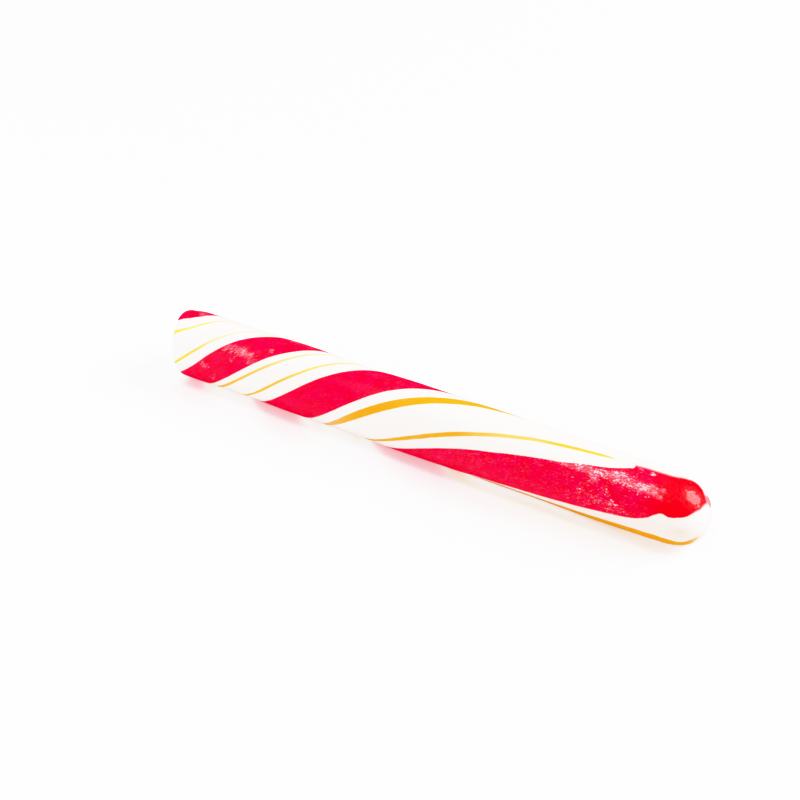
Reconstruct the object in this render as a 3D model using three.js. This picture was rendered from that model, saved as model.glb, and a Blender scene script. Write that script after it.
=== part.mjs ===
// A hand-twisted sugar stick: one bar of pulled sugar, cut straight at the far end and
// rounded to a knob at the near end, lying on a narrow flat along its underside.
// Millimetres and degrees. The bar runs along +X from its cut end to its knob, +Z is up,
// and the origin is under its middle, on the surface that it lies on.
import * as THREE from 'three';

// The bar.
const LENGTH = 161;
const RADIUS = 9.7;
const FLAT_DEPTH = 0.25; // how much the bar has settled flat underneath

// The twist: fast at the cut end and nearly straight at the knob, as the bar was rolled.
const TWIST_AT_CUT = 5.34; // degrees a millimetre that die away towards the knob
const TWIST_AT_KNOB = 0.286; // degrees a millimetre that are left there
const TWIST_FADE_AT = 80;
const TWIST_FADE_OVER = 18.7;
const FIRST_LINE_ANGLE = 97.7; // where the first thin line leaves the cut end

// Low relief: the two coloured bands stand a little proud of the white sugar between them.
const BAND_MIDDLES = [62, 229]; // angles past the first line
const BAND_HALF_WIDTH = 38;
const BAND_RISE = 0.16;
const SWELL_HEIGHT = 0.09; // slow unevenness along the bar
const SWELL_LENGTHS = [71, 29];

// The cut end: it leans out at the top, its rim is blunt, and worn down at the top's far side.
const CUT_LEAN = 12.8;
const CUT_YAW = 4.7;
const CUT_REACH = 14; // how far along the bar the lean is still felt
const RIM_ROUND = 0.6;
const WEAR_DEPTH = 1.25;
const WEAR_REACH = 2.5;
const WEAR_ANGLE = -46;
const WEAR_SPREAD = 36;
const CHIPS = [
  { angle: 42, spread: 30, depth: 0.5 },
  { angle: 205, spread: 22, depth: 0.3 },
  { angle: 282, spread: 18, depth: 0.4 },
];

// The knob: a blunt nose that sags a little and is fullest underneath, behind a shallow neck
// and a fold.
const NOSE_LENGTH = 17.5;
const NOSE_FULLNESS = 2.57;
const HEEL_FULLNESS = 0.6; // what the underside adds to that
const NOSE_SAG = 0.85;
const NECK_FROM_TIP = 11;
const NECK_WIDTH = 2;
const NECK_DEPTH = 0.3;
const NECK_DEEPEST_AT = 45;
const FOLD_FROM_TIP = 23.5;
const FOLD_ANGLE = -4;
const FOLD_LENGTH = 4.5;
const FOLD_SPREAD = 17;
const FOLD_DEPTH = 0.3;

// Fineness of the faceted solid.
const SIDES = 48;
const RING_SPACING = 2.5;
const RIM_STEPS = 3;
const NOSE_STEPS = 28;

const radians = THREE.MathUtils.degToRad;
const degrees = THREE.MathUtils.radToDeg;

/** A smooth bump of height 1 at zero that has faded out at about twice its width. */
function bump(distance, width) {
  return Math.exp(-((distance / width) ** 2));
}

/** An angle in degrees brought into -180 to 180. */
function wrapped(angle) {
  return THREE.MathUtils.euclideanModulo(angle + 180, 360) - 180;
}

/** Where the first thin line runs, in degrees from the top towards -Y, at s from the cut. */
function lineAngle(s) {
  const fadedBy = (at) => TWIST_FADE_OVER * Math.log1p(Math.exp((at - TWIST_FADE_AT) / TWIST_FADE_OVER));
  const turned = TWIST_AT_CUT * (s - fadedBy(s) + fadedBy(0)) + TWIST_AT_KNOB * s;
  return FIRST_LINE_ANGLE - turned;
}

/** How far the surface stands above the plain round bar at s from the cut and an angle. */
function relief(s, angle) {
  const pastLine = angle - lineAngle(s);
  let height = 0;
  for (const middle of BAND_MIDDLES) {
    height += BAND_RISE * bump(wrapped(pastLine - middle), BAND_HALF_WIDTH);
  }
  for (const [index, length] of SWELL_LENGTHS.entries()) {
    const turn = radians((360 * s) / length + angle * (index + 1));
    height += (SWELL_HEIGHT / (index + 1)) * Math.sin(turn);
  }
  const fromTip = LENGTH - s;
  const round = 0.5 + 0.5 * Math.cos(radians(angle - NECK_DEEPEST_AT));
  height -= NECK_DEPTH * round ** 2 * bump(fromTip - NECK_FROM_TIP, NECK_WIDTH);
  height -= WEAR_DEPTH * bump(s, WEAR_REACH) * bump(wrapped(angle - WEAR_ANGLE), WEAR_SPREAD);
  const foldHere = bump(fromTip - FOLD_FROM_TIP, FOLD_LENGTH) * bump(wrapped(angle - FOLD_ANGLE), FOLD_SPREAD);
  return height - FOLD_DEPTH * foldHere;
}

/** How far the cut's rim is broken back at an angle. */
function chipping(s, angle) {
  let depth = 0;
  for (const chip of CHIPS) {
    depth += chip.depth * bump(wrapped(angle - chip.angle), chip.spread);
  }
  return depth * bump(s, WEAR_REACH);
}

/** The share of the full radius that is left part of the way along the nose. */
function noseShare(along, fullness) {
  return Math.max(0, 1 - along ** fullness) ** (1 / fullness);
}

/** The plain outline of half the bar, as points of radius and distance from the cut. */
function outline() {
  const points = [new THREE.Vector2(0, 0), new THREE.Vector2(RADIUS * 0.55, 0)];
  for (let step = 0; step <= RIM_STEPS; step += 1) {
    const turn = radians((90 * step) / RIM_STEPS);
    const radius = RADIUS - RIM_ROUND * (1 - Math.sin(turn));
    points.push(new THREE.Vector2(radius, RIM_ROUND * (1 - Math.cos(turn))));
  }
  const noseStart = LENGTH - NOSE_LENGTH;
  const straight = noseStart - RIM_ROUND;
  const rings = Math.round(straight / RING_SPACING);
  for (let ring = 1; ring < rings; ring += 1) {
    points.push(new THREE.Vector2(RADIUS, RIM_ROUND + (straight * ring) / rings));
  }
  for (let step = 0; step <= NOSE_STEPS; step += 1) {
    const turn = radians((90 * step) / NOSE_STEPS);
    const along = Math.sin(turn) ** (2 / NOSE_FULLNESS);
    const across = step === NOSE_STEPS ? 0 : noseShare(along, NOSE_FULLNESS);
    points.push(new THREE.Vector2(RADIUS * across, noseStart + NOSE_LENGTH * along));
  }
  return points;
}

/** Moves one point of the turned bar to where it lies on the real, uneven one. */
function settle(point) {
  const s = point.x;
  const radius = Math.hypot(point.y, point.z);
  const angle = degrees(Math.atan2(-point.y, point.z));
  const shared = radius / RADIUS; // the faces at both ends follow their rims
  const alongNose = Math.max(0, 1 - (LENGTH - s) / NOSE_LENGTH);
  const underneath = 0.5 - 0.5 * Math.cos(radians(angle));
  const fullness = NOSE_FULLNESS + HEEL_FULLNESS * underneath ** 2;
  const plain = noseShare(alongNose, NOSE_FULLNESS);
  const fuller = plain > 0 ? noseShare(alongNose, fullness) / plain : 1;
  const reach = radius * fuller + relief(s, angle) * shared;
  const middle = RADIUS - FLAT_DEPTH - NOSE_SAG * alongNose ** 2;
  const sideways = -reach * Math.sin(radians(angle));
  const upwards = reach * Math.cos(radians(angle));
  const nearCut = Math.exp(-s / CUT_REACH);
  const lean = upwards * Math.tan(radians(CUT_LEAN)) + sideways * Math.tan(radians(CUT_YAW));
  const along = s - lean * nearCut + chipping(s, angle) * shared - LENGTH / 2;
  point.set(along, sideways, Math.max(0, middle + upwards));
}

/** The whole bar as one closed shape. */
function barGeometry() {
  const geometry = new THREE.LatheGeometry(outline(), SIDES);
  geometry.rotateZ(-Math.PI / 2);
  const positions = geometry.getAttribute('position');
  const point = new THREE.Vector3();
  for (let index = 0; index < positions.count; index += 1) {
    point.fromBufferAttribute(positions, index);
    settle(point);
    positions.setXYZ(index, point.x, point.y, point.z);
  }
  geometry.computeBoundingBox();
  const box = geometry.boundingBox;
  geometry.translate(-(box.min.x + box.max.x) / 2, -(box.min.y + box.max.y) / 2, -box.min.z);
  geometry.computeVertexNormals();
  return geometry;
}

const sugar = new THREE.MeshStandardMaterial({ color: 0xf7f0e8, roughness: 0.35, metalness: 0 });
const stick = new THREE.Mesh(barGeometry(), sugar);
stick.name = 'candy_stick';

const part = new THREE.Group();
part.name = 'striped_candy_stick';
part.add(stick);

export default part;
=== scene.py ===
"""A striped stick of pulled sugar, finished and set on a pale table.

The stick is made in the order a sweet maker works in: a straight bar is turned, the coloured
strips are laid along it, the bar is twisted, one end is rolled to a knob and the other one is
cut, and then it is laid down. Shapes are worked out in millimetres and brought to metres once.
"""

import math

import bmesh
import bpy
from bpy.props import FloatProperty, FloatVectorProperty, PointerProperty
from mathutils import Matrix, Vector, noise


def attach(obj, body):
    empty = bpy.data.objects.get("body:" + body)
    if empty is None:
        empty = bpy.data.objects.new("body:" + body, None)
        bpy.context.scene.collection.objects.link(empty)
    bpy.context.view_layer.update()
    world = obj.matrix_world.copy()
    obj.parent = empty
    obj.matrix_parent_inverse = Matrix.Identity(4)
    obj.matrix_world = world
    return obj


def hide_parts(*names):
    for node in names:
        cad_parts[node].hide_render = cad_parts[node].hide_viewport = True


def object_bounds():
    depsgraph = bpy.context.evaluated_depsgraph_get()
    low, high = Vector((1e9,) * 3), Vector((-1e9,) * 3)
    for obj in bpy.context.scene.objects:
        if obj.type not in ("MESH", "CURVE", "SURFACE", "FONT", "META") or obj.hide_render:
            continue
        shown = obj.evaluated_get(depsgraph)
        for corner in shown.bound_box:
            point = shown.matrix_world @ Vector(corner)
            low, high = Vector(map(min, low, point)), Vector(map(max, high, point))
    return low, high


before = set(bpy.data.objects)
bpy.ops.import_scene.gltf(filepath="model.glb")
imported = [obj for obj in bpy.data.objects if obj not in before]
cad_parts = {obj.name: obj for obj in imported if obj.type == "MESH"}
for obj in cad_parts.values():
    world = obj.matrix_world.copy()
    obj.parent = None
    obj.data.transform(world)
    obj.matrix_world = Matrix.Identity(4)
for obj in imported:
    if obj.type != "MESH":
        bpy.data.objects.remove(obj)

bl_info = {
    "name": "Striped Sugar Stick",
    "version": (1, 0, 0),
    "blender": (4, 5, 0),
    "location": "3D View > Sidebar > Sugar Stick",
    "description": "Turns, stripes, twists and lays down a stick of pulled sugar",
    "category": "Add Mesh",
}

NODE = "candy_stick"
CAD_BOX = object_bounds()
MM = 0.001

# From here to the tip the front red is drawn on, over the top of the knob.
FOLD_START = 139.3

# The twist: fast at the cut and nearly straight at the knob. Degrees and millimetres.
TWIST_AT_CUT = 5.34
TWIST_AT_KNOB = 0.286
TWIST_FADE_AT = 80
TWIST_FADE_OVER = 18.7
FIRST_LINE_ANGLE = 97.7

# Low relief of the bar.
BAND_MIDDLES = (62, 229)  # past the first line
BAND_HALF_WIDTH = 38
SWELL_HEIGHT = 0.09
SWELL_LENGTHS = (71, 29)  # of the slow swellings of a hand-rolled bar
FOLD_FROM_TIP = 23.5
FOLD_ANGLE = -4
FOLD_LENGTH = 4.5
FOLD_SPREAD = 17
FOLD_DEPTH = 0.3

# The cut end: it leans, its rim is worn at the top, and a few chips have broken off.
CUT_LEAN = 12.8
CUT_YAW = 4.7
CUT_REACH = 14
RIM_ROUND = 0.25
WEAR_DEPTH = 0.75
WEAR_REACH = 2.85
WEAR_ANGLE = -31
WEAR_SPREAD = 50
CHIPS = ((42, 30, 0.5), (205, 22, 0.3), (282, 18, 0.4))  # the angle, spread and depth of each

# The knob.
NOSE_LENGTH = 17.5
NOSE_FULLNESS = 2.57  # 2 would be round, and more is blunter
HEEL_FULLNESS = 0.6  # how much blunter it is underneath
NOSE_SAG = 0.85
NECK_FROM_TIP = 11
NECK_WIDTH = 2
NECK_DEPTH = 0.3
NECK_DEEPEST_AT = 45

# Fine relief that only the finished surface has.
PULL_MARK_HEIGHT = 0.035
PULL_MARK_LENGTH = 26
PULL_MARK_WIDTH = 2.4
STRIP_STEP = 0.05  # how proud each coloured strip's own edge stands
FOLD_STEP = 0.12  # the same where the red is folded over the knob
STRIP_EDGE = (-0.25, 0.35)  # over which distance from its edge that step rises
FOLD_RISES = (FOLD_START - 6, FOLD_START + 4)
LINE_GROOVE = 0.03
LINE_EDGE = (-0.2, 0.3)
KNOB_FROM_TIP = (13, 8)  # where the knob's own marks begin and are full
KNOB_LUMP_HEIGHT = 0.05
KNOB_LUMP_SIZE = 3.2
KNOB_DIMPLE_HEIGHT = 0.09  # the finer lumps of its red cap
KNOB_DIMPLE_SIZE = 0.8
CAP_EDGE = (0, 0.8)
CREASE_DEPTH = 0.07
CREASE_WIDTH = 0.7
CREASE_FROM_CUT = 152.3
CREASE_BOW = 1.9  # how much nearer the cut its ends are
CREASE_MIDDLE = 15
CREASE_HALF = 45
CREASE_STARTS = (-30, 0)
CREASE_ENDS = (58, 72)
NUB_AT = (159.4, -31)  # distance from the cut and angle from the top
NUB_HEIGHT = 0.35
NUB_WIDTH = 1.5
NUB_SQUASH = 1.6  # how much shorter than wide it is
CUT_RIPPLE_HEIGHT = 0.16
CUT_RIPPLE_SIZE = 2.6
CUT_RIPPLE_GROWS = 6  # inwards from the rim, for each radius

# The strips, as (distance from the cut, angle past the first line) along each edge.
RED_FRONT_LOW = (
    (0, 30.5), (8, 30.2), (13, 27.2), (18, 26.2), (22, 28.3), (27, 32), (42, 27), (60, 22),
    (78, 21.2), (86, 23), (94, 25.6), (104, 29.8), (113, 30.2), (120, 30), (127.5, 26),
    (132.5, 23), (135, 19.5), (137.2, 15), (138.3, 11), (139.3, 5.5),
)
RED_FRONT_HIGH = (
    (0, 91), (16, 93.6), (22, 95.7), (30, 98), (37, 102.3), (42, 103), (75, 99), (84, 92),
    (90, 86), (96, 84.5), (100, 88), (104, 92), (110, 95), (113, 97), (120, 99.4), (126, 99),
    (134, 96.5), (140, 94.1), (143.6, 91.4), (146.8, 85), (149.2, 75.5), (150.3, 72.2),
    (150.9, 72.4), (152.4, 74.4), (153.5, 73.8), (154.8, 71.3), (156.4, 66.4), (157.6, 60),
    (158.5, 51.5), (159.2, 42), (159.65, 29), (159.95, 12), (160.08, -2), (161, -24),
)
RED_FOLD_LOW = (
    (139.3, -3.2), (142, -2.3), (146, -0.8), (148, -2.2), (150, -6.5), (151.6, -12.5), (153, -19),
    (154, -25), (155.5, -28.5), (157, -25.5), (158.3, -17.5), (159.2, -11), (159.8, -5),
    (160.08, -2), (161, 60),
)
SPUR_LOW = ((138, -3.5), (139.4, -2.9))  # the pointed corner that the fold has left
SPUR_HIGH = ((138, -3.5), (139.3, 5.5))
RED_BACK_LOW = ((0, 188), (80, 190), (140, 192), (153, 200), (158, 215), (160.4, 232))
RED_BACK_HIGH = (
    (0, 272.5), (2, 277.5), (4.2, 278.5), (5.6, 274), (7.5, 268), (40, 267), (85, 258), (140, 262),
    (153, 256), (158, 244), (160.4, 232),
)

# The gold lines, as (distance from the cut, angle past the first line, width in millimetres, how
# full its colour is, how amber it is, or below zero how lemon yellow). The amber is partly painted
# shade and the lemon partly painted light.
FRONT_LINE = (  # on the front, beside the front red
    (0, 3, 0.8, 1, -0.5), (8, 2.9, 0.8, 0.95, -0.4), (12, 1.2, 0.8, 0.6, -0.4),
    # painted shadow: from 70 to 97 the line is a deeper amber, as if another stick lay across it
    (22, 2, 0.8, 0.5, -0.3), (45, 0, 0.9, 0.7, 0.2), (70, -3.2, 1.0, 1, 0.6),
    (80, -1.3, 1.2, 1, 0.65), (90, 0.6, 1.25, 1, 0.65), (97, 1.1, 1.2, 0.95, 0.3),
    (107, 0.5, 1.15, 0.9, 0.05), (112, -0.2, 1.1, 0.9, 0), (118, 0.5, 1.15, 1, 0.05),
    (128, 1, 1.1, 1, 0.1), (132.3, 0.5, 0.9, 0.9, 0.1), (135, -0.6, 0.2, 0, 0),
)
LOW_LINE = (  # under the front red, nearly on the table towards the knob, where its amber is partly painted shade
    (0, 110, 0.9, 1, 0.4), (20, 111, 0.9, 1, 0.25), (26, 113, 0.8, 0.95, 0),
    (38, 118, 0.8, 0.7, -0.3), (46, 118, 0.8, 0.6, -0.2), (80, 112, 1.6, 0.9, 0.8),
    (90, 102, 2.2, 1, 1), (98, 98, 2.4, 1, 1), (104, 104, 2.8, 1, 1), (110, 113, 3.2, 1, 1),
    (118, 121, 3.4, 1, 1), (126, 124.5, 3.6, 1, 1), (135, 124.8, 3.6, 1, 1),
    (145, 125.4, 3.6, 1, 1), (148.4, 127.5, 3.6, 1, 1), (150, 129, 3.6, 1, 1),
    (153, 132, 3.4, 1, 1), (155, 135.5, 3.0, 1, 0.95), (156.5, 136.5, 2.6, 1, 0.9),
    (158, 134, 2.0, 1, 0.7), (159.7, 127, 1.0, 0.7, 0.4), (161, 123, 0.1, 0, 0.4),
)
BACK_LINE = (  # beside the back red
    (0, 156, 0.8, 0.9, 0.2), (34, 158.5, 0.8, 1, 0.1), (42, 160.3, 0.8, 0.9, -0.3),
    (60, 158, 0.9, 0.8, -0.2), (120, 156, 1.2, 0.9, 0.8), (150, 154, 1.0, 0.9, 0.8),
    (160, 150, 0.2, 0, 0.8),
)
RIBBON = (  # above the back red, where it widens
    (0, 300.5, 1.1, 1, -1), (2, 304.1, 0.9, 0.9, -1), (4.5, 307.3, 0.8, 0.8, -0.8),
    (7.5, 307.5, 0.8, 0.8, -0.8), (12, 304.5, 0.8, 0.6, -0.6), (45, 298, 0.9, 0.7, 0.3),
    # painted shadow: from 62 to 108 the ribbon is partly a deeper amber, as if another stick lay
    # across it
    (62, 290, 2.2, 1, 0.8), (80, 291.5, 2.6, 1, 0.9), (84, 292, 2.7, 1, 0.9),
    (88, 291.8, 2.9, 1, 0.9), (92, 291.8, 3.1, 1, 0.8), (97, 292.5, 3.2, 1, 0.7),
    (102, 293.5, 3.0, 1, 0.6), (108, 293.5, 2.6, 1, 0.7), (125, 292, 1.8, 0.9, 0.8),
    (148, 288, 1.3, 0.9, 0.8), (159.5, 280, 0.2, 0, 0.8),
)
GOLD_LINES = (FRONT_LINE, LOW_LINE, BACK_LINE, RIBBON)
LOOK_COLUMNS = (2, 3, 4)  # where a line's width, fullness and amber tone, partly painted shade and light, stand in its rows
STRIP_DEPTH = 1.7  # how deep the red strips reach at the cut
LINE_DEPTH = 0.8

# Where the surface is dusty and, partly, where painted sheen and glints lie, as (distance from
# the cut, angle from the top, half length in millimetres, half width in millimetres, how
# strongly).
DUST_AND_SHEEN_PATCHES = (
    (22.5, 34, 4.6, 1.5, 0.9), (25.5, 46, 1.4, 1.4, 0.6), (20, 53, 0.9, 0.9, 0.5),
    (30.4, 16, 0.8, 0.9, 0.9), (17.2, 37, 1.3, 1.6, 0.6), (11.7, 77, 1.7, 1.4, 0.8),
    (15.1, 90, 0.7, 0.9, 0.6), (14.2, 99, 1.2, 1.0, 0.5), (3.6, -18, 1.8, 1.3, 0.7),
    (0.8, 7, 1.2, 0.9, 0.6), (34, -28, 7.0, 0.9, 0.7), (116.5, 38.2, 4.0, 0.45, 0.42),
    (121.5, 37.2, 3.5, 0.65, 0.62), (125, 34.5, 3.0, 0.9, 0.7), (128.5, 33, 3.0, 1.1, 0.9),
    (131, 40, 1.6, 1.4, 0.75), (134.5, 29, 2.8, 1.4, 0.85), (137, 21, 2.0, 1.4, 0.75),
    (139.5, 30, 3.5, 1.7, 0.9), (144, 34, 2.6, 1.6, 0.95), (146.6, 28, 1.4, 1.2, 1.2),
    (149.1, 25.5, 0.9, 0.8, 1.2), (148.8, 38, 1.7, 0.8, 1.0), (144.7, 4, 0.8, 0.7, 1.0),
    # the patch at 156.1 on the knob is a painted highlight, a pink tint under the light's
    # reflection
    (141.4, 3, 1.3, 1.0, 0.7), (156.1, 10, 2.2, 2.2, 0.3), (133, 52, 7.0, 2.6, 0.36),
    (131, 70, 5.5, 2.2, 0.34), (127, 84, 4.0, 1.4, 0.3), (137, 79, 3.6, 1.8, 0.46),
    (141.3, 77, 1.4, 0.9, 0.5),
)
STAIN_AT = (155.4, 82)  # distance from the cut and angle from the top
STAIN_LENGTH = 2.9
STAIN_WIDTH = 0.9
MELTED_FROM = 142  # the knob has been warmed and rolled smooth from here on
MELTED_TO = 151
SOFT_FROM_CUT = (FOLD_START - 1.4, FOLD_START + 0.8)  # the red's edge has melted over the top
SOFT_FROM_BACK = (-75, -50)
SOFT_TO_FRONT = (5, 40)
TIP_SOFTNESS = 0.55
SOFT_TIP = (156, 158.5)
FLANK_SHADE_FROM_CUT = (85, 140)  # painted shade: where the cream turns warmer and darker on the flanks, and from which angle
FLANK_SHADE_ANGLE = (50, 95)

# Patterns in the sugar: about how many spots each has in a metre, and how far it is drawn out.
FIBRES = 1500
STREAKS = 380
GRAIN = 2600
CLOUDS = 420
CRUMBS = 2800
DRIFTS = 640
LUMPS = 1300
PULLED = (0.12, 1, 1)
CRUMBS_PULLED = (0.5, 1, 1)
DRIFTS_PULLED = (0.7, 1, 1)

# How much of one pattern is added to another.
GOLD_RAGGEDNESS = 0.8  # of what the red's edge has
GOLD_CLOUDS = 0.2
HAZE_DRIFTS = 1.3
HAZE_CRUMBS = 2.6
SPECK_DRIFTS = 0.55
SPECK_DUST = 0.15
FRECKLE_DRIFTS = 0.3
DEEP_CRUMBS = 1.2
AMBER_CLOUDS = 0.5

# Where each of them takes over: not yet at the first number, and fully at the second.
RED_EDGE = (-0.1, 0.12)
SOFT_RED_EDGE = 1.15  # how much further that reaches where the red has melted
SOFT_RED_INSET = 0.25
GOLD_EDGE = (-0.14, 0.16)
RAGGEDNESS = 0.25
HAZE_EDGE = (0.35, 1.3)
HAZE_NEEDS_DUST = (0, 0.35)
SPECK_EDGE = (0.17, 0.25)
SPECKS_NEED_DUST = (0, 0.3)
FRECKLE_EDGE = (0.02, 0.18)
SHADE_EDGE = (-0.15, 0.2)
DEEP_EDGE = (-0.15, 0.15)
LEMON_EDGE = (-0.1, 0.9)
NUB_EDGE = (0.05, 0.6)

# How strongly the patterns show, at the cut and at the knob.
CHANGES_OVER = (40, 110)  # distances from the cut
FRECKLES = (0.06, 0.2)
# the haze is partly painted sheen, and the bright crumbs partly painted glints
FROST_AND_SHEEN = (0.85, 0.6)
CRUMB_GLINTS = (0.3, 0.8)
MELTED_GLINTS = 0.2  # how much of the crumbs and painted glints is left where the sugar has melted
BLUSH = 0.12
BLUSH_REACH = 0.9  # how far from the red, in millimetres
STAIN = 0.1
NUB_RED = 0.75

# How rough the surface is, and how high its finest marks stand, in millimetres.
ROUGHNESS = 0.38
ROUGHER_STREAKS = 0.15
ROUGHER_DUST = 0.15
FIBRE_HEIGHT = 0.018
CRUMB_HEIGHT = 0.03
STREAK_HEIGHT = 0.03
LUMP_HEIGHT = 0.2

# How fine the mesh is.
SIDES = 180
RING_SPACING = 0.42
RIM_STEPS = 5
CUT_FACE_RINGS = 16
NOSE_STEPS = 46
WELD = 1e-4
EDGE_STEP = 0.04  # the strips' edges are worked out this often along the bar
SLANT_REACH = 0.15  # their slant is taken from this far on each side
SMALLEST_RADIUS = 0.5
OUTSIDE = -20.0  # millimetres: far from any strip

# The stage. Metres and degrees.
TABLE_HALF = 3.0
AIM = (-0.01736, 0.01519, 0)
CAMERA_AZIMUTH = 27.97
CAMERA_ELEVATION = 40.0
CAMERA_DISTANCE = 0.4777
CAMERA_LENS = 73.84
SENSOR = 36.0
KEY_DIRECTION = (0.66, 0.45, 0.61)
KEY_DISTANCE = 1.4
KEY_SIZE = 0.84
TOP_DIRECTION = (-0.15, -0.15, 0.97)
TOP_DISTANCE = 1.2
TOP_SIZE = 0.3
FILL_DIRECTION = (-0.82, -0.50, 0.30)  # low, in front of the cut end
FILL_DISTANCE = 0.42
FILL_SIZE = 0.16
BLACK_LEVEL = 0.012  # light that is shown as black
WHITE_LEVEL = 1.8  # and as full white
# The tones in between, as (light, how bright it is shown).
SHOULDER = ((0.1, 0.08), (0.6, 0.61), (0.85, 0.865), (1.0, 0.925), (1.2, 0.965), (1.45, 0.987))


def bump(distance, width):
    """A smooth bump of height 1 at zero that has faded out at about twice its width."""
    return math.exp(-((distance / width) ** 2))


def wrapped(angle):
    """An angle in degrees brought into -180 to 180."""
    return (angle + 180) % 360 - 180


def ramp(value, low, high):
    """0 up to low, 1 from high on, and smooth in between."""
    share = min(1, max(0, (value - low) / (high - low)))
    return share * share * (3 - 2 * share)


def between(share, first, last):
    """A number, or a number that changes over a surface, part of the way from first to last."""
    return share * (last - first) + first


def drawn(points, at, column=1):
    """A smooth line through a few points, which never swings past them, at one place."""
    if at <= points[0][0]:
        return points[0][column]
    if at >= points[-1][0]:
        return points[-1][column]
    here = max(index for index, point in enumerate(points) if point[0] <= at)

    def slope(index):
        """How steeply the line from one point to the next rises."""
        first, second = points[index], points[index + 1]
        return (second[column] - first[column]) / (second[0] - first[0])

    def eased(index):
        """How steeply the smooth line rises where it passes a point."""
        if index in (0, len(points) - 1):
            return slope(min(index, len(points) - 2))
        before, after = slope(index - 1), slope(index)
        return 2 * before * after / (before + after) if before * after > 0 else 0

    span = points[here + 1][0] - points[here][0]
    share = (at - points[here][0]) / span
    start, end = points[here][column], points[here + 1][column]
    leaving, arriving = eased(here) * span, eased(here + 1) * span
    turned = share * share * (3 - 2 * share)
    return (
        start + (end - start) * turned
        + leaving * share * (1 - share) ** 2
        - arriving * share * share * (1 - share)
    )


def line_angle(s):
    """Where the first line runs, in degrees from the top towards -Y, at s from the cut."""

    def faded_by(at):
        """How many millimetres' worth of the fast twist has been lost."""
        return TWIST_FADE_OVER * math.log1p(math.exp((at - TWIST_FADE_AT) / TWIST_FADE_OVER))

    turned = TWIST_AT_CUT * (s - faded_by(s) + faded_by(0)) + TWIST_AT_KNOB * s
    return FIRST_LINE_ANGLE - turned


def degree_length(radius):
    """How long a degree is round the bar, in millimetres."""
    return math.radians(1) * max(radius, SMALLEST_RADIUS)


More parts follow.
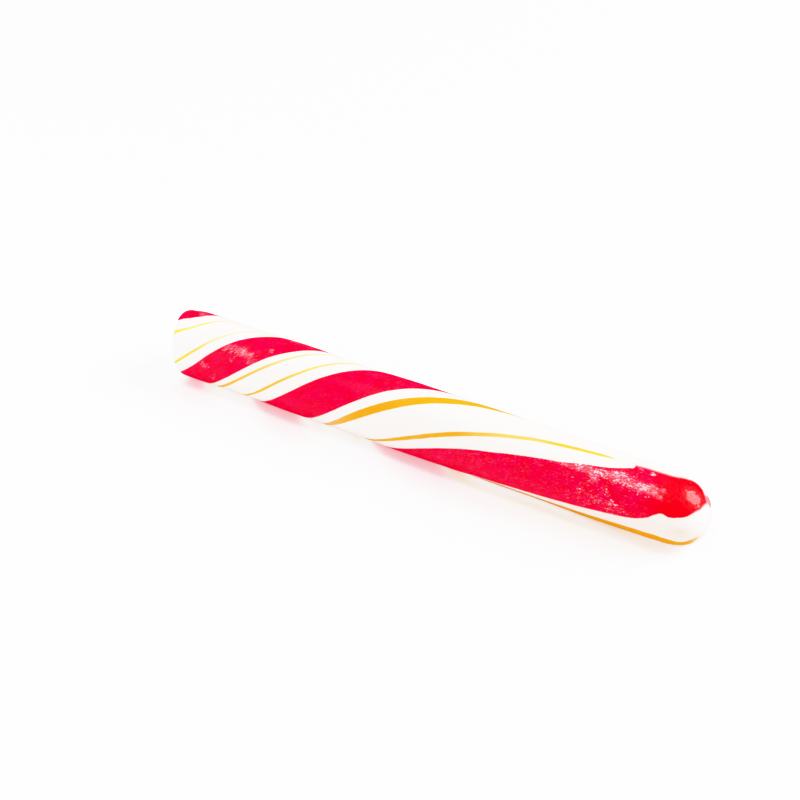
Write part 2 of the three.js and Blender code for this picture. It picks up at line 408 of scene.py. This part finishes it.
class Stick:
    """The stick's sizes, and the maths that gives its stripes and its form."""

    def __init__(self, settings):
        self.length = settings.length / MM
        self.radius = settings.radius / MM
        self.flat_depth = settings.flat_depth / MM
        self.band_rise = settings.band_rise / MM
        self.line_scale = settings.line_scale
        self.rings = {}

    def outline(self):
        """Half the bar's outline: (distance from the cut, radius), with long straight runs."""
        points = [(0, 0)]
        for step in range(RIM_STEPS + 1):
            turn = math.radians(90 * step / RIM_STEPS)
            inward = RIM_ROUND * (1 - math.sin(turn))
            points.append((RIM_ROUND * (1 - math.cos(turn)), self.radius - inward))
        nose_start = self.length - NOSE_LENGTH
        for step in range(NOSE_STEPS + 1):
            turn = math.radians(90 * step / NOSE_STEPS)
            along = math.sin(turn) ** (2 / NOSE_FULLNESS)
            across = 0 if step == NOSE_STEPS else self.nose_share(along, NOSE_FULLNESS)
            points.append((nose_start + NOSE_LENGTH * along, self.radius * across))
        return points

    @staticmethod
    def nose_share(along, fullness):
        """The share of the full radius that is left part of the way along the nose."""
        return max(0, 1 - along ** fullness) ** (1 / fullness)

    def ring(self, s):
        """Every strip's edges at s from the cut, worked out once for each small step of s."""
        key = round(s / EDGE_STEP)
        if key not in self.rings:
            self.rings[key] = self.edges_at(key * EDGE_STEP)
        return self.rings[key]

    def edges_at(self, s):
        """The edges of the red bands, and the gold lines, at s from the cut."""
        folded = s >= FOLD_START
        front_low = RED_FOLD_LOW if folded else RED_FRONT_LOW
        reds = [
            (self.edge(front_low, s), self.edge(RED_FRONT_HIGH, s)),
            (self.edge(RED_BACK_LOW, s), self.edge(RED_BACK_HIGH, s)),
        ]
        if SPUR_LOW[0][0] < s < FOLD_START:
            reds.append((self.edge(SPUR_LOW, s), self.edge(SPUR_HIGH, s)))
        golds = [
            (self.edge(line, s), [drawn(line, s, column) for column in LOOK_COLUMNS])
            for line in GOLD_LINES
        ]
        return reds, golds

    def edge(self, points, s):
        """An edge's angle past the first line, and how many degrees a millimetre it turns."""
        behind = drawn(points, s - SLANT_REACH) + line_angle(s - SLANT_REACH)
        ahead = drawn(points, s + SLANT_REACH) + line_angle(s + SLANT_REACH)
        return drawn(points, s), (ahead - behind) / (2 * SLANT_REACH)

    def stripes(self, s, past, radius, buried):
        """How deep a point is in the red and in a gold line, in mm, and that gold's look."""
        reds, golds = self.ring(s)
        arc = degree_length(radius)
        red = OUTSIDE
        for (low, low_turn), (high, high_turn) in reds:
            half = (high - low) / 2
            off = wrapped(past - (low + high) / 2)
            from_low = (off + half) * arc / math.hypot(1, low_turn * arc)
            from_high = (half - off) * arc / math.hypot(1, high_turn * arc)
            red = max(red, min(from_low, from_high, STRIP_DEPTH - buried))
        gold = OUTSIDE
        look = (0.0, 0.0)
        for (middle, turn), (width, fullness, amber_and_shade) in golds:
            off = abs(wrapped(past - middle)) * arc / math.hypot(1, turn * arc)
            inside = min(self.line_scale * width / 2 - off, LINE_DEPTH - buried)
            if inside > gold:
                gold = inside
                look = (fullness, amber_and_shade)
        return red, gold, *look

    def relief(self, s, angle):
        """How far the surface stands above the plain round bar, as in the solid part."""
        past = angle - line_angle(s)
        height = self.band_rise * sum(
            bump(wrapped(past - middle), BAND_HALF_WIDTH) for middle in BAND_MIDDLES
        )
        for index, length in enumerate(SWELL_LENGTHS):
            turn = math.radians(360 * s / length + angle * (index + 1))
            height += SWELL_HEIGHT / (index + 1) * math.sin(turn)
        from_tip = self.length - s
        near = 0.5 + 0.5 * math.cos(math.radians(angle - NECK_DEEPEST_AT))
        height -= NECK_DEPTH * near ** 2 * bump(from_tip - NECK_FROM_TIP, NECK_WIDTH)
        height -= WEAR_DEPTH * bump(s, WEAR_REACH) * bump(wrapped(angle - WEAR_ANGLE), WEAR_SPREAD)
        fold = bump(from_tip - FOLD_FROM_TIP, FOLD_LENGTH)
        return height - FOLD_DEPTH * fold * bump(wrapped(angle - FOLD_ANGLE), FOLD_SPREAD)

    def nub(self, s, angle, radius):
        """The little point of sugar pinched off the knob: 1 at its middle, and 0 around it."""
        nub_s, nub_angle = NUB_AT
        aside = wrapped(angle - nub_angle) * math.radians(1) * max(1, radius)
        return bump(math.hypot(NUB_SQUASH * (s - nub_s), aside), NUB_WIDTH)

    def fine_relief(self, s, angle, radius, bar, stripes):
        """Marks of the pulling and folding: millimetres above the relief of the solid part."""
        red, gold = stripes
        across = PULL_MARK_WIDTH
        grain = Vector((bar.x / PULL_MARK_LENGTH, bar.y / across, bar.z / across))
        height = PULL_MARK_HEIGHT * noise.noise(grain)
        height += between(ramp(s, *FOLD_RISES), STRIP_STEP, FOLD_STEP) * ramp(red, *STRIP_EDGE)
        height -= LINE_GROOVE * ramp(gold, *LINE_EDGE)
        knob = 1 - ramp(self.length - s, *reversed(KNOB_FROM_TIP))
        height += KNOB_LUMP_HEIGHT * knob * noise.noise(bar / KNOB_LUMP_SIZE)
        cap = knob * ramp(red, *CAP_EDGE)
        height += KNOB_DIMPLE_HEIGHT * cap * noise.noise(bar / KNOB_DIMPLE_SIZE)
        crease_at = CREASE_FROM_CUT - CREASE_BOW * ((angle - CREASE_MIDDLE) / CREASE_HALF) ** 2
        shown = ramp(angle, *CREASE_STARTS) * (1 - ramp(angle, *CREASE_ENDS))
        height -= CREASE_DEPTH * shown * bump(s - crease_at, CREASE_WIDTH)
        return height + NUB_HEIGHT * self.nub(s, angle, radius)

    def chipping(self, s, angle):
        """How far the cut's rim is broken back at an angle."""
        broken = 0
        for middle, spread, depth in CHIPS:
            broken += depth * bump(wrapped(angle - middle), spread)
        return broken * bump(s, WEAR_REACH)

    def settled(self, s, angle, radius, fine):
        """Where a point of the straight bar lies on the real, uneven and leaning one."""
        shared = radius / self.radius
        along_nose = max(0, 1 - (self.length - s) / NOSE_LENGTH)
        underneath = 0.5 - 0.5 * math.cos(math.radians(angle))
        fullness = NOSE_FULLNESS + HEEL_FULLNESS * underneath ** 2
        plain = self.nose_share(along_nose, NOSE_FULLNESS)
        fuller = self.nose_share(along_nose, fullness) / plain if plain > 0 else 1
        reach = radius * fuller + (self.relief(s, angle) + fine) * shared
        middle = self.radius - self.flat_depth - NOSE_SAG * along_nose ** 2
        sideways = -reach * math.sin(math.radians(angle))
        upwards = reach * math.cos(math.radians(angle))
        near_cut = math.exp(-s / CUT_REACH)
        lean = upwards * math.tan(math.radians(CUT_LEAN))
        lean += sideways * math.tan(math.radians(CUT_YAW))
        along = s - lean * near_cut + self.chipping(s, angle) * shared
        return Vector((along, sideways, max(0, middle + upwards)))


def turned_bar(stick):
    """The straight bar: its half outline, drawn in the plane y = 0 and turned once round X."""
    bm = bmesh.new()
    outline = stick.outline()
    point = bmesh.ops.create_vert(bm, co=(outline[0][0], 0, outline[0][1]))["vert"][0]
    for along, radius in outline[1:]:
        grown = bmesh.ops.extrude_vert_indiv(bm, verts=[point])
        point = grown["verts"][0]
        point.co = (along, 0, radius)
    cut_face = sorted(bm.edges, key=lambda edge: edge.calc_length())[-2]
    bmesh.ops.subdivide_edges(bm, edges=[cut_face], cuts=CUT_FACE_RINGS - 1)
    straight = max(bm.edges, key=lambda edge: edge.calc_length())
    rings = round(straight.calc_length() / RING_SPACING)
    bmesh.ops.subdivide_edges(bm, edges=[straight], cuts=rings - 1)
    bmesh.ops.spin(
        bm, geom=bm.verts[:] + bm.edges[:], cent=(0, 0, 0), axis=(1, 0, 0), dvec=(0, 0, 0),
        angle=math.tau, space=Matrix.Identity(4), steps=SIDES, use_merge=True,
        use_normal_flip=False, use_duplicate=False,
    )
    bmesh.ops.remove_doubles(bm, verts=bm.verts, dist=WELD)
    bmesh.ops.recalc_face_normals(bm, faces=bm.faces)
    return bm


def patches(s, angle, arc):
    """How dusty a point of the surface is, with its painted sheen and glints, from 0 to 1."""
    dust_and_sheen = 0
    for at, middle, long, wide, strength in DUST_AND_SHEEN_PATCHES:
        aside = wrapped(angle - middle) * arc
        dust_and_sheen += strength * bump(s - at, long) * bump(aside, wide)
    return min(1, dust_and_sheen)


def softness(s, angle):
    """How gently the red fades out at its edge, from 0 to 1: it has melted where it is folded."""
    over_top = ramp(angle, *SOFT_FROM_BACK) * (1 - ramp(angle, *SOFT_TO_FRONT))
    return max(over_top * ramp(s, *SOFT_FROM_CUT), TIP_SOFTNESS * ramp(s, *SOFT_TIP))


def stripe_and_twist(bm, stick):
    """Lays the strips along the straight bar, twists it and lets it settle."""
    names = ("bar", "stripes", "wear_and_sheen", "tints_and_shade")
    layers = {name: bm.verts.layers.float_vector.new(name) for name in names}
    for vert in bm.verts:
        s = vert.co.x
        radius = math.hypot(vert.co.y, vert.co.z)
        angle = wrapped(math.degrees(math.atan2(-vert.co.y, vert.co.z)) + line_angle(s))
        arc = degree_length(radius)
        buried = stick.radius - radius if s < RIM_ROUND else 0
        at = stick.settled(s, angle, radius, 0).x  # the leaning cut shifts the strips along
        red, gold, fullness, amber_and_shade = stick.stripes(at, angle - line_angle(at), radius, buried)
        stain_s, stain_angle = STAIN_AT
        stain = bump(at - stain_s, STAIN_LENGTH)
        stain *= bump(wrapped(angle - stain_angle) * arc, STAIN_WIDTH)
        # painted shade: the cream low on the flanks towards the knob turns warmer and darker
        painted_flank_shade = ramp(abs(angle), *FLANK_SHADE_ANGLE) * ramp(at, *FLANK_SHADE_FROM_CUT)
        vert[layers["bar"]] = vert.co * MM
        vert[layers["stripes"]] = (red, gold, amber_and_shade)
        # the first number marks sugar dust together with painted sheen and glints
        vert[layers["wear_and_sheen"]] = (patches(at, angle, arc), fullness, softness(at, angle))
        vert[layers["tints_and_shade"]] = (stain, stick.nub(at, angle, radius), painted_flank_shade)
        fine = stick.fine_relief(at, angle, radius, vert.co.copy(), (red, gold))
        vert.co = stick.settled(s, angle, radius, fine)
        if s < WELD and radius < stick.radius - RIM_ROUND:
            inward = 1 - radius / stick.radius
            ripple = noise.noise(Vector((vert.co.y, vert.co.z, 0)) / CUT_RIPPLE_SIZE)
            vert.co.x += CUT_RIPPLE_HEIGHT * (ripple + 1) * min(1, CUT_RIPPLE_GROWS * inward)


def placed(bm):
    """Brings the bar to metres and onto the place of the solid part."""
    low = Vector(min(vert.co[axis] for vert in bm.verts) for axis in range(3))
    high = Vector(max(vert.co[axis] for vert in bm.verts) for axis in range(3))
    cad_low, cad_high = CAD_BOX
    middle = (low + high) / 2
    cad_middle = (cad_low + cad_high) / 2 / MM
    move = Vector((cad_high.x / MM - high.x, cad_middle.y - middle.y, cad_low.z / MM - low.z))
    bmesh.ops.translate(bm, verts=bm.verts, vec=move)
    bmesh.ops.scale(bm, verts=bm.verts, vec=(MM, MM, MM))
    bmesh.ops.recalc_face_normals(bm, faces=bm.faces)


def finished_object(name, bm, material):
    """A mesh object at the origin, smooth, with one material."""
    mesh = bpy.data.meshes.new(name)
    bm.to_mesh(mesh)
    bm.free()
    mesh.shade_smooth()
    mesh.materials.append(material)
    made = bpy.data.objects.new(name, mesh)
    bpy.context.scene.collection.objects.link(made)
    return made


class Wire:
    """A number that changes over a surface. Python maths on it adds Math nodes."""

    def __init__(self, finish, socket):
        self.finish = finish
        self.socket = socket

    def math(self, operation, *values):
        """The result of a Math node on these values."""
        node = self.finish.add("ShaderNodeMath", {"operation": operation}, dict(enumerate(values)))
        return Wire(self.finish, node.outputs[0])

    def __add__(self, other):
        return self.math("ADD", self, other)

    __radd__ = __add__

    def __sub__(self, other):
        return self.math("SUBTRACT", self, other)

    def __rsub__(self, other):
        return self.math("SUBTRACT", other, self)

    def __mul__(self, other):
        return self.math("MULTIPLY", self, other)

    __rmul__ = __mul__

    def step(self, low, high):
        """0 up to low, 1 from high on, and smooth in between."""
        settings = {"interpolation_type": "SMOOTHSTEP", "clamp": True}
        values = {"Value": self, "From Min": low, "From Max": high}
        node = self.finish.add("ShaderNodeMapRange", settings, values)
        return Wire(self.finish, node.outputs[0])


class Finish:
    """One material and the nodes that make it."""

    def __init__(self, name):
        self.material = bpy.data.materials.new(name)
        self.material.use_nodes = True
        self.tree = self.material.node_tree
        self.tree.nodes.clear()

    def add(self, kind, settings=None, values=None):
        """Adds a node: its settings first, then the values or links of its sockets."""
        node = self.tree.nodes.new(kind)
        for name, setting in (settings or {}).items():
            setattr(node, name, setting)
        for name, value in (values or {}).items():
            socket = node.inputs[name]
            if isinstance(value, Wire):
                value = value.socket
            if isinstance(value, bpy.types.NodeSocket):
                self.tree.links.new(value, socket)
            else:
                socket.default_value = value
        return node

    def stored(self, name):
        """The three numbers that the mesh keeps under a name, as a vector."""
        return self.add("ShaderNodeAttribute", {"attribute_name": name}).outputs["Vector"]

    def split(self, vector):
        """A vector's three numbers."""
        node = self.add("ShaderNodeSeparateXYZ", values={0: vector})
        return [Wire(self, output) for output in node.outputs]

    def stretched(self, vector, scale):
        """A pattern's coordinates, scaled apart along each axis."""
        return self.add("ShaderNodeMapping", values={"Vector": vector, "Scale": scale}).outputs[0]

    def noise(self, vector, scale, detail=2.0, roughness=0.5):
        """A smooth random number about 0, with spots of about 1 / scale metres."""
        values = {"Vector": vector, "Scale": scale, "Detail": detail, "Roughness": roughness}
        return Wire(self, self.add("ShaderNodeTexNoise", values=values).outputs[0]) - 0.5

    def mix(self, factor, first, second):
        """Two colours mixed, from the first at 0 to the second at 1."""
        # The node's sockets for colours go by number, because those for numbers share their names.
        values = {0: factor, 6: colour(first), 7: colour(second)}
        return self.add("ShaderNodeMix", {"data_type": "RGBA"}, values).outputs[2]

    def end(self, values):
        """Ends the tree in one shader with these values, and returns the material."""
        shader = self.add("ShaderNodeBsdfPrincipled", values=values)
        self.add("ShaderNodeOutputMaterial", values={"Surface": shader.outputs[0]})
        return self.material


def colour(value):
    """A colour of three numbers as the four that a socket holds; a link stays as it is."""
    return value if isinstance(value, bpy.types.NodeSocket) else (*value[:3], 1.0)


def sugar_finish(settings):
    """Pulled sugar: cream, red and gold, dusty in places and melted smooth at the knob, with
    painted sheen and glints on the red, and painted shade and light on the flanks and lines.
    """
    finish = Finish("pulled_sugar")
    bar = finish.stored("bar")
    red, gold, amber_and_shade = finish.split(finish.stored("stripes"))
    dust_and_sheen, fullness, soft = finish.split(finish.stored("wear_and_sheen"))
    stain, nub, painted_flank_shade = finish.split(finish.stored("tints_and_shade"))
    along = finish.split(bar)[0]
    melted = along.step(MELTED_FROM * MM, MELTED_TO * MM)
    near = along.step(CHANGES_OVER[0] * MM, CHANGES_OVER[1] * MM)

    pulled = finish.stretched(bar, PULLED)
    crumbled = finish.stretched(bar, CRUMBS_PULLED)
    drifted = finish.stretched(bar, DRIFTS_PULLED)
    fibre = finish.noise(pulled, FIBRES, detail=3, roughness=0.55)
    streak = finish.noise(pulled, STREAKS)
    grain = finish.noise(bar, GRAIN, detail=3, roughness=0.6)
    cloud = finish.noise(bar, CLOUDS, detail=3)
    crumbs = finish.noise(crumbled, CRUMBS, detail=4, roughness=0.7)
    drifts = finish.noise(drifted, DRIFTS, detail=3, roughness=0.6)
    lumps = finish.noise(bar, LUMPS, roughness=0.6)

    # Where each kind of sugar is, with the strips' edges a little ragged.
    ragged = (fibre + grain) * RAGGEDNESS
    red_starts, red_full = RED_EDGE
    inset = red + ragged - soft * SOFT_RED_INSET
    red_here = inset.step(red_starts, soft * SOFT_RED_EDGE + red_full)
    gold_here = (gold + ragged * GOLD_RAGGEDNESS + cloud * GOLD_CLOUDS).step(*GOLD_EDGE) * fullness
    # painted sheen and glints: a pink haze and bright specks on the red, partly sugar dust and
    # crumbs
    haze_and_sheen = (dust_and_sheen + drifts * HAZE_DRIFTS + crumbs * HAZE_CRUMBS).step(*HAZE_EDGE)
    haze_and_sheen = haze_and_sheen * dust_and_sheen.step(*HAZE_NEEDS_DUST)
    glint_specks = (crumbs + drifts * SPECK_DRIFTS + dust_and_sheen * SPECK_DUST).step(*SPECK_EDGE)
    glint_specks = glint_specks * dust_and_sheen.step(*SPECKS_NEED_DUST) * between(melted, 1, MELTED_GLINTS)
    freckles = (crumbs + drifts * FRECKLE_DRIFTS).step(*FRECKLE_EDGE) * (1 - melted)

    cream = finish.mix(streak.step(*SHADE_EDGE), settings.cream, settings.cream_shade)
    # painted shade: warmer, darker cream low on the flanks
    cream = finish.mix(painted_flank_shade, cream, settings.painted_shade_cream)
    cream = finish.mix((red + BLUSH_REACH).step(0, 1.0) * BLUSH, cream, settings.blush)
    cream = finish.mix(stain * STAIN, cream, settings.amber_and_shade)

    deep = (cloud + crumbs * DEEP_CRUMBS).step(*DEEP_EDGE)
    reds = finish.mix(deep, settings.crimson, settings.crimson_deep)
    reds = finish.mix(melted, reds, settings.cherry)
    reds = finish.mix(freckles * between(near, *FRECKLES), reds, settings.frost_and_sheen)
    # painted sheen and painted glints over the red, where the light would catch it
    reds = finish.mix(haze_and_sheen * between(near, *FROST_AND_SHEEN), reds, settings.frost_and_sheen)
    reds = finish.mix(glint_specks * between(near, *CRUMB_GLINTS), reds, settings.crumbs_and_glints)

    # the amber is partly painted shade, where a line lies low near the table or in a painted
    # shadow
    amber_and_shade_here = (amber_and_shade + cloud * AMBER_CLOUDS).step(0, 1)
    golds = finish.mix(amber_and_shade_here, settings.yellow, settings.amber_and_shade)
    # lemon where the lines lie over the top near the cut: partly painted light
    golds = finish.mix((0 - amber_and_shade).step(*LEMON_EDGE), golds, settings.lemon_and_light)

    striped = finish.mix(gold_here, cream, golds)
    striped = finish.mix(nub.step(*NUB_EDGE) * NUB_RED, striped, settings.crimson)
    striped = finish.mix(red_here, striped, reds)

    rough_here = fibre * FIBRE_HEIGHT + crumbs * CRUMB_HEIGHT
    height = rough_here * (1 - melted) + lumps * LUMP_HEIGHT * melted + streak * STREAK_HEIGHT
    relief = {"Strength": 1.0, "Distance": MM, "Height": height}
    return finish.end({
        "Base Color": striped,
        "Roughness": streak * ROUGHER_STREAKS + haze_and_sheen * ROUGHER_DUST + ROUGHNESS,
        "Normal": finish.add("ShaderNodeBump", values=relief).outputs[0],
        "IOR": 1.5,
        "Specular IOR Level": 0.12,
        "Coat Weight": melted * red_here,
        "Coat Roughness": 0.1,
        "Coat IOR": 1.36,
        "Subsurface Weight": 0.15,
        "Subsurface Radius": (1.0, 0.6, 0.45),
        "Subsurface Scale": 0.0009,
    })


class SugarStickSettings(bpy.types.PropertyGroup):
    """Sizes and colours of the stick."""

    length: FloatProperty(
        name="Length", description="From the cut to the tip of the knob, along the bar",
        default=0.161, min=0.08, unit="LENGTH")
    radius: FloatProperty(
        name="Radius", description="Half the bar's thickness",
        default=0.0097, min=0.004, unit="LENGTH")
    flat_depth: FloatProperty(
        name="Flat", description="How far the bar has settled flat underneath",
        default=0.00025, min=0.0, unit="LENGTH")
    band_rise: FloatProperty(
        name="Band Rise", description="How far the red bands stand proud of the cream sugar",
        default=0.00016, min=0.0, unit="LENGTH")
    line_scale: FloatProperty(
        name="Line Width", description="Width of the gold lines, as a share of the usual one",
        default=1.0, min=0.0, max=3.0, subtype="FACTOR")
    cream: FloatVectorProperty(
        name="Cream", description="The plain pulled sugar",
        default=(0.94, 0.855, 0.80), min=0, max=1, subtype="COLOR")
    cream_shade: FloatVectorProperty(
        name="Cream Shade", description="The plain sugar between its pull marks",
        default=(0.93, 0.835, 0.78), min=0, max=1, subtype="COLOR")
    # painted shade: the cream low on the flanks of the knob, darker as in shade
    painted_shade_cream: FloatVectorProperty(
        name="Painted Shade Cream", description="The plain sugar low on the flanks of the knob",
        default=(0.93, 0.765, 0.70), min=0, max=1, subtype="COLOR")
    blush: FloatVectorProperty(
        name="Blush", description="Cream sugar beside a red band",
        default=(0.90, 0.42, 0.46), min=0, max=1, subtype="COLOR")
    crimson: FloatVectorProperty(
        name="Crimson", description="The red bands",
        default=(0.93, 0.001, 0.070), min=0, max=1, subtype="COLOR")
    crimson_deep: FloatVectorProperty(
        name="Deep Crimson", description="The darker clouds in the red bands",
        default=(0.84, 0.0, 0.030), min=0, max=1, subtype="COLOR")
    cherry: FloatVectorProperty(
        name="Cherry", description="The red of the melted knob",
        default=(0.95, 0.0, 0.012), min=0, max=1, subtype="COLOR")
    # partly sugar dust, partly painted sheen on the red
    frost_and_sheen: FloatVectorProperty(
        name="Frost and Sheen", description="Sugar dust on the red",
        default=(0.94, 0.27, 0.35), min=0, max=1, subtype="COLOR")
    # painted glints: the bright crumbs stand in for glints of light on the red
    crumbs_and_glints: FloatVectorProperty(
        name="Crumbs and Glints", description="Bright crumbs of sugar on the red",
        default=(0.94, 0.78, 0.79), min=0, max=1, subtype="COLOR")
    yellow: FloatVectorProperty(
        name="Yellow", description="The thin lines where they are pale",
        default=(0.92, 0.47, 0.045), min=0, max=1, subtype="COLOR")
    # partly painted light: the lines are lighter where they run over the top
    lemon_and_light: FloatVectorProperty(
        name="Lemon and Light", description="The thin lines near the cut, where they are brightest",
        default=(0.94, 0.63, 0.07), min=0, max=1, subtype="COLOR")
    # partly the lines' own deeper colour and partly painted shade; the stain takes it too
    amber_and_shade: FloatVectorProperty(
        name="Amber and Shade", description="The thin lines where they are strong",
        default=(0.83, 0.36, 0.008), min=0, max=1, subtype="COLOR")


class SugarStageSettings(bpy.types.PropertyGroup):
    """The table and the light."""

    table: FloatVectorProperty(
        name="Table", description="Colour of the table",
        default=(0.855, 0.84, 0.86), min=0, max=1, subtype="COLOR")
    room: FloatProperty(
        name="Room", description="Strength of the light from all round", default=0.7, min=0)
    glow: FloatProperty(
        name="Glow", description="How brightly the table shines by itself, as a light table does",
        default=0.27, min=0)
    key: FloatProperty(
        name="Key", description="Power of the large soft light behind the knob",
        default=18.4, min=0, unit="POWER")
    top: FloatProperty(
        name="Top", description="Power of the small light overhead",
        default=3.4, min=0, unit="POWER")
    fill: FloatProperty(
        name="Fill", description="Power of the small soft light in front of the cut end",
        default=0.5, min=0, unit="POWER")


class SUGAR_OT_pull_stick(bpy.types.Operator):
    """Turn, stripe, twist and finish the sugar stick."""

    bl_idname = "sugar.pull_stick"
    bl_label = "Pull the Stick"

    def execute(self, context):
        settings = context.scene.sugar_stick
        stick = Stick(settings)
        bm = turned_bar(stick)
        stripe_and_twist(bm, stick)
        placed(bm)
        made = finished_object("sugar_stick", bm, sugar_finish(settings))
        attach(made, "root")
        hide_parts(NODE)
        return {"FINISHED"}


def softbox(name, direction, distance, size, power):
    """A square soft light that faces the middle of the stick."""
    light = bpy.data.lights.new(name, "AREA")
    light.shape = "SQUARE"
    light.size = size
    light.energy = power
    placed_light = bpy.data.objects.new(name, light)
    towards = Vector(direction).normalized()
    placed_light.location = towards * distance
    placed_light.rotation_euler = towards.to_track_quat("Z", "Y").to_euler()
    bpy.context.scene.collection.objects.link(placed_light)
    return placed_light


def set_view(view):
    """Cuts the thin veil of reflected light from the darks, and eases the brightest tones."""
    view.view_transform = "Standard"
    view.look = "None"
    view.use_curve_mapping = True
    mapping = view.curve_mapping
    mapping.black_level = (BLACK_LEVEL,) * 3
    mapping.white_level = (WHITE_LEVEL,) * 3
    curve = mapping.curves[3]  # the one for all three colours together
    for light, shown in SHOULDER:
        curve.points.new((light - BLACK_LEVEL) / (WHITE_LEVEL - BLACK_LEVEL), shown)
    mapping.update()


class SUGAR_OT_set_stage(bpy.types.Operator):
    """Make the pale table, the soft light and the camera."""

    bl_idname = "sugar.set_stage"
    bl_label = "Set the Stage"

    def execute(self, context):
        settings = context.scene.sugar_stage
        bm = bmesh.new()
        bmesh.ops.create_grid(bm, x_segments=1, y_segments=1, size=TABLE_HALF)
        finish = Finish("pale_table")
        material = finish.end({
            "Base Color": (*settings.table, 1),
            "Roughness": 0.6,
            "Emission Color": (1, 1, 1, 1),
            "Emission Strength": settings.glow,
        })
        table = finished_object("table", bm, material)
        table.visible_glossy = False

        world = bpy.data.worlds.new("soft_room")
        world.use_nodes = True
        world.node_tree.nodes["Background"].inputs["Color"].default_value = (1, 1, 1, 1)
        world.node_tree.nodes["Background"].inputs["Strength"].default_value = settings.room
        world.cycles_visibility.glossy = False
        context.scene.world = world
        softbox("key_softbox", KEY_DIRECTION, KEY_DISTANCE, KEY_SIZE, settings.key)
        softbox("top_softbox", TOP_DIRECTION, TOP_DISTANCE, TOP_SIZE, settings.top)
        softbox("fill_softbox", FILL_DIRECTION, FILL_DISTANCE, FILL_SIZE, settings.fill)

        lens = bpy.data.cameras.new("camera")
        lens.lens = CAMERA_LENS
        lens.sensor_width = SENSOR
        camera = bpy.data.objects.new("camera", lens)
        azimuth = math.radians(CAMERA_AZIMUTH)
        elevation = math.radians(CAMERA_ELEVATION)
        back = Vector((
            math.sin(azimuth) * math.cos(elevation),
            -math.cos(azimuth) * math.cos(elevation),
            math.sin(elevation),
        ))
        camera.location = Vector(AIM) + back * CAMERA_DISTANCE
        camera.rotation_euler = back.to_track_quat("Z", "Y").to_euler()
        context.scene.collection.objects.link(camera)
        context.scene.camera = camera
        set_view(context.scene.view_settings)
        return {"FINISHED"}


class SUGAR_PT_panel(bpy.types.Panel):
    """The stick's sizes and colours, and the steps that make it."""

    bl_idname = "SUGAR_PT_panel"
    bl_label = "Sugar Stick"
    bl_space_type = "VIEW_3D"
    bl_region_type = "UI"
    bl_category = "Sugar Stick"

    def draw(self, context):
        layout = self.layout
        for settings in (context.scene.sugar_stick, context.scene.sugar_stage):
            box = layout.box()
            for name in settings.__annotations__:
                box.prop(settings, name)
        layout.operator("sugar.pull_stick")
        layout.operator("sugar.set_stage")


CLASSES = (
    SugarStickSettings,
    SugarStageSettings,
    SUGAR_OT_pull_stick,
    SUGAR_OT_set_stage,
    SUGAR_PT_panel,
)


def register():
    """Adds the classes and their settings to Blender."""
    for made in CLASSES:
        bpy.utils.register_class(made)
    bpy.types.Scene.sugar_stick = PointerProperty(type=SugarStickSettings)
    bpy.types.Scene.sugar_stage = PointerProperty(type=SugarStageSettings)


def unregister():
    """Takes them away again."""
    del bpy.types.Scene.sugar_stage
    del bpy.types.Scene.sugar_stick
    for made in reversed(CLASSES):
        bpy.utils.unregister_class(made)


def main():
    """Makes the stick and its stage."""
    register()
    bpy.ops.sugar.pull_stick()
    bpy.ops.sugar.set_stage()


if __name__ == "__main__":
    main()
